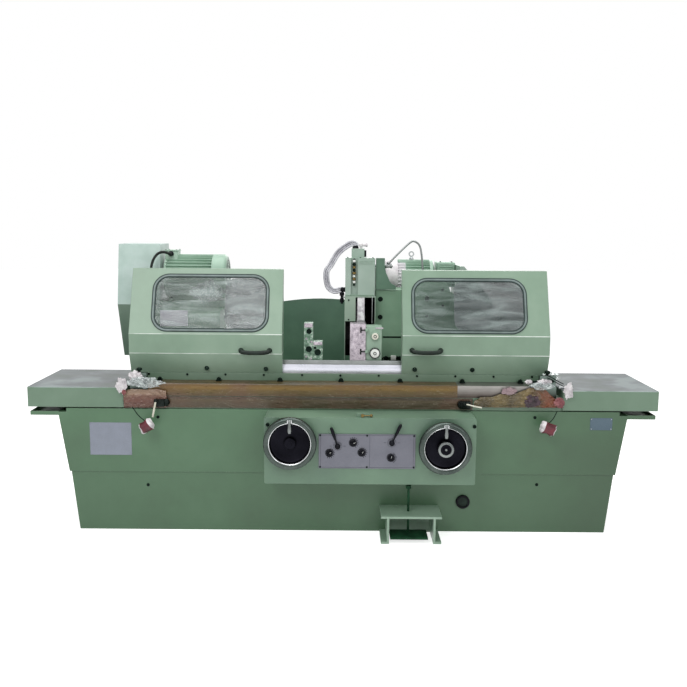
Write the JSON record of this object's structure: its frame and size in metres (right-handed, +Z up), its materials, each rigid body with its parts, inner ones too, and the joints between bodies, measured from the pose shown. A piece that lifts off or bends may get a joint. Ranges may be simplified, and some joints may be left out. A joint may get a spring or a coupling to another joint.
{
  "type": "cylindrical grinding machine",
  "caption": "Universal cylindrical grinding machine with sliding table, swivelling upper table, headstock, tailstock, windowed hoods and a wheelhead behind.",
  "frame": {"origin": "floor point under the middle of the front bed, half way across its depth", "axes": "+X right along the table as the operator stands, +Y to the rear, +Z up"},
  "size_m": [3.596, 1.7726, 1.6783],
  "materials": {
    "machine_green": "semi-gloss sage green machine paint",
    "light_green": "semi-gloss sage green paint over filled castings",
    "dark_green": "semi-gloss dark green paint",
    "plate_grey": "pale blue-grey printed plate",
    "bright_steel": "turned and ground steel",
    "ground_iron": "ground cast iron with painted sides",
    "chrome": "polished chrome plate",
    "black_plastic": "moulded black plastic",
    "black_rubber": "black rubber",
    "window_glass": "clear pane in a black rubber seal",
    "abrasive": "white vitrified abrasive",
    "amber_paper": "waxed amber protective paper",
    "brown_paper": "waxed brown protective paper",
    "hose_grey": "pale grey plastic hose"
  },
  "bodies": {
    "base": {"bed": "machine_green", "front_apron": "machine_green", "control_plate": "plate_grey", "pedal_guard": "machine_green", "oil_gauge": "black_plastic", "rear_splash_guard": "dark_green"},
    "reverser": {"reverse_lever": "bright_steel"},
    "table_wheel": {"table_handwheel": "chrome"},
    "table_grip": {"table_wheel_grip": "chrome"},
    "infeed_wheel": {"infeed_handwheel": "chrome"},
    "infeed_grip": {"infeed_wheel_grip": "chrome"},
    "fine_knob": {"fine_feed_knob": "bright_steel"},
    "traverse_handle": {"traverse_lever": "black_plastic"},
    "approach_handle": {"approach_lever": "black_plastic"},
    "left_dwell": {"left_dwell_knob": "black_plastic"},
    "table_speed": {"table_speed_knob": "black_plastic"},
    "right_dwell": {"right_dwell_knob": "black_plastic"},
    "pump": {"pump_switch": "black_plastic"},
    "pedal": {"foot_pedal": "bright_steel"},
    "table": {"lower_table": "machine_green", "left_way_cover": "machine_green", "right_way_cover": "machine_green", "lower_table_wrap": "brown_paper"},
    "dog_left": {"left_dog": "bright_steel"},
    "dog_right": {"right_dog": "bright_steel"},
    "swivel_table": {"upper_table": "ground_iron", "hood_rail": "machine_green", "upper_table_wrap": "amber_paper", "steady_rest": "light_green", "dial_rest": "light_green"},
    "dial_upper": {"upper_dial": "bright_steel"},
    "dial_lower": {"lower_dial": "black_plastic"},
    "hood_left": {"left_hood": "machine_green", "left_hood_window": "window_glass"},
    "hood_right": {"right_hood": "machine_green", "right_hood_window": "window_glass"},
    "headstock": {"headstock_body": "light_green", "headstock_centre": "bright_steel", "headstock_motor": "light_green", "headstock_belt": "black_rubber", "headstock_belt_guard": "machine_green", "motor_cable": "black_rubber"},
    "driver": {"driver_plate": "bright_steel"},
    "head_motor_shaft": {"headstock_motor_pulley": "bright_steel"},
    "head_input_shaft": {"headstock_input_pulley": "bright_steel"},
    "tailstock": {"tailstock_body": "light_green"},
    "quill": {"tailstock_quill": "bright_steel"},
    "tail_handle": {"tailstock_lever": "bright_steel"},
    "slide": {"wheelhead_slide": "machine_green"},
    "wheelhead": {"wheelhead_body": "light_green", "wheel_guard": "machine_green", "guard_top_box": "machine_green", "wheel_motor": "light_green", "wheelhead_belt": "black_rubber", "wheelhead_belt_guard": "machine_green", "coolant_pipe": "chrome", "coolant_hose": "hose_grey"},
    "spindle": {"grinding_wheel": "abrasive", "wheel_spindle": "bright_steel"},
    "wheel_motor_shaft": {"wheel_motor_pulley": "bright_steel"}
  },
  "joints": [
    {"name": "table_traverse", "type": "slide", "parent": "base", "child": "table", "axis": [1, 0, 0], "range_m": [-0.64, 0.55]},
    {"name": "table_swivel", "type": "hinge", "parent": "table", "child": "swivel_table", "pos_m": [0, 0, 0.792], "axis": [0, 0, 1], "range_deg": [-3, 6]},
    {"name": "headstock_position", "type": "slide", "parent": "swivel_table", "child": "headstock", "axis": [-1, 0, 0], "range_m": [-0.1, 0.02]},
    {"name": "driver_turn", "type": "hinge", "parent": "headstock", "child": "driver", "pos_m": [0, 0, 1.085], "axis": [1, 0, 0], "continuous": true},
    {"name": "head_input_turn", "type": "hinge", "parent": "headstock", "child": "head_input_shaft", "pos_m": [0, 0.245, 1.085], "axis": [1, 0, 0], "continuous": true},
    {"name": "head_motor_turn", "type": "hinge", "parent": "headstock", "child": "head_motor_shaft", "pos_m": [0, 0.21, 1.445], "axis": [1, 0, 0], "continuous": true},
    {"name": "tailstock_position", "type": "slide", "parent": "swivel_table", "child": "tailstock", "axis": [1, 0, 0], "range_m": [-0.4, 0.05]},
    {"name": "quill_stroke", "type": "slide", "parent": "tailstock", "child": "quill", "axis": [1, 0, 0], "range_m": [0, 0.03]},
    {"name": "tail_lever_swing", "type": "hinge", "parent": "tailstock", "child": "tail_handle", "pos_m": [1.056, 0, 1.163], "axis": [0, 1, 0], "range_deg": [-1, 42]},
    {"name": "left_hood_slide", "type": "slide", "parent": "swivel_table", "child": "hood_left", "axis": [-1, 0, 0], "range_m": [-0.1, 0.3]},
    {"name": "right_hood_slide", "type": "slide", "parent": "swivel_table", "child": "hood_right", "axis": [1, 0, 0], "range_m": [-0.07, 0.3]},
    {"name": "upper_dial_turn", "type": "hinge", "parent": "swivel_table", "child": "dial_upper", "pos_m": [0.184, -0.124, 1.123], "axis": [0, 1, 0], "continuous": true},
    {"name": "lower_dial_turn", "type": "hinge", "parent": "swivel_table", "child": "dial_lower", "pos_m": [0.184, -0.124, 1.023], "axis": [0, 1, 0], "continuous": true},
    {"name": "left_dog_slide", "type": "slide", "parent": "table", "child": "dog_left", "axis": [-1, 0, 0], "range_m": [-0.5, 0.06]},
    {"name": "right_dog_slide", "type": "slide", "parent": "table", "child": "dog_right", "axis": [1, 0, 0], "range_m": [-0.4, 0.38]},
    {"name": "wheelhead_infeed", "type": "slide", "parent": "base", "child": "slide", "axis": [0, -1, 0], "range_m": [-0.05, 0.12]},
    {"name": "wheelhead_swivel", "type": "hinge", "parent": "slide", "child": "wheelhead", "pos_m": [0.455, 0.64, 0.95], "axis": [0, 0, 1], "range_deg": [-8, 8]},
    {"name": "wheel_turn", "type": "hinge", "parent": "wheelhead", "child": "spindle", "pos_m": [0, 0.35, 1.085], "axis": [1, 0, 0], "continuous": true},
    {"name": "wheel_motor_turn", "type": "hinge", "parent": "wheelhead", "child": "wheel_motor_shaft", "pos_m": [0, 0.6, 1.4143], "axis": [1, 0, 0], "continuous": true},
    {"name": "table_wheel_turn", "type": "hinge", "parent": "base", "child": "table_wheel", "pos_m": [-0.288, -0.5, 0.585], "axis": [0, 1, 0], "continuous": true},
    {"name": "table_grip_fold", "type": "hinge", "parent": "table_wheel", "child": "table_grip", "pos_m": [-0.288, -0.5816, 0.713], "axis": [-1, 0, 0], "range_deg": [0, 90]},
    {"name": "infeed_wheel_turn", "type": "hinge", "parent": "base", "child": "infeed_wheel", "pos_m": [0.56, -0.5, 0.564], "axis": [0, 1, 0], "continuous": true},
    {"name": "infeed_grip_fold", "type": "hinge", "parent": "infeed_wheel", "child": "infeed_grip", "pos_m": [0.56, -0.5816, 0.692], "axis": [-1, 0, 0], "range_deg": [0, 90]},
    {"name": "fine_feed_turn", "type": "hinge", "parent": "infeed_wheel", "child": "fine_knob", "pos_m": [0.56, -0.5, 0.564], "axis": [0, 1, 0], "continuous": true},
    {"name": "traverse_lever_swing", "type": "hinge", "parent": "base", "child": "traverse_handle", "pos_m": [-0.028, -0.5053, 0.561], "axis": [0, 1, 0], "range_deg": [-15, 45]},
    {"name": "approach_lever_swing", "type": "hinge", "parent": "base", "child": "approach_handle", "pos_m": [0.27, -0.5053, 0.582], "axis": [0, 1, 0], "range_deg": [-55, 10]},
    {"name": "left_dwell_turn", "type": "hinge", "parent": "base", "child": "left_dwell", "pos_m": [-0.073, -0.5053, 0.522], "axis": [0, 1, 0], "range_deg": [-135, 135]},
    {"name": "table_speed_turn", "type": "hinge", "parent": "base", "child": "table_speed", "pos_m": [0.057, -0.5053, 0.581], "axis": [0, 1, 0], "range_deg": [-135, 135]},
    {"name": "right_dwell_turn", "type": "hinge", "parent": "base", "child": "right_dwell", "pos_m": [0.105, -0.5053, 0.526], "axis": [0, 1, 0], "range_deg": [-135, 135]},
    {"name": "pump_switch_turn", "type": "hinge", "parent": "base", "child": "pump", "pos_m": [0.266, -0.5053, 0.498], "axis": [0, 1, 0], "range_deg": [-45, 45]},
    {"name": "reverse_lever_swing", "type": "hinge", "parent": "base", "child": "reverser", "pos_m": [0.108, -0.4783, 0.728], "axis": [0, -1, 0], "range_deg": [0, 40]},
    {"name": "pedal_press", "type": "slide", "parent": "base", "child": "pedal", "axis": [0, 0, -1], "range_m": [0, 0.018], "stiffness_N_per_m": 2500, "springref_m": -0.02}
  ],
  "couplings": [
    {"joint": "head_input_turn", "follows": "driver_turn", "ratio": 3},
    {"joint": "head_motor_turn", "follows": "driver_turn", "ratio": 4.5},
    {"joint": "wheel_motor_turn", "follows": "wheel_turn", "ratio": 1.5},
    {"joint": "tail_lever_swing", "follows": "quill_stroke", "rad_per_m": 23.3}
  ]
}
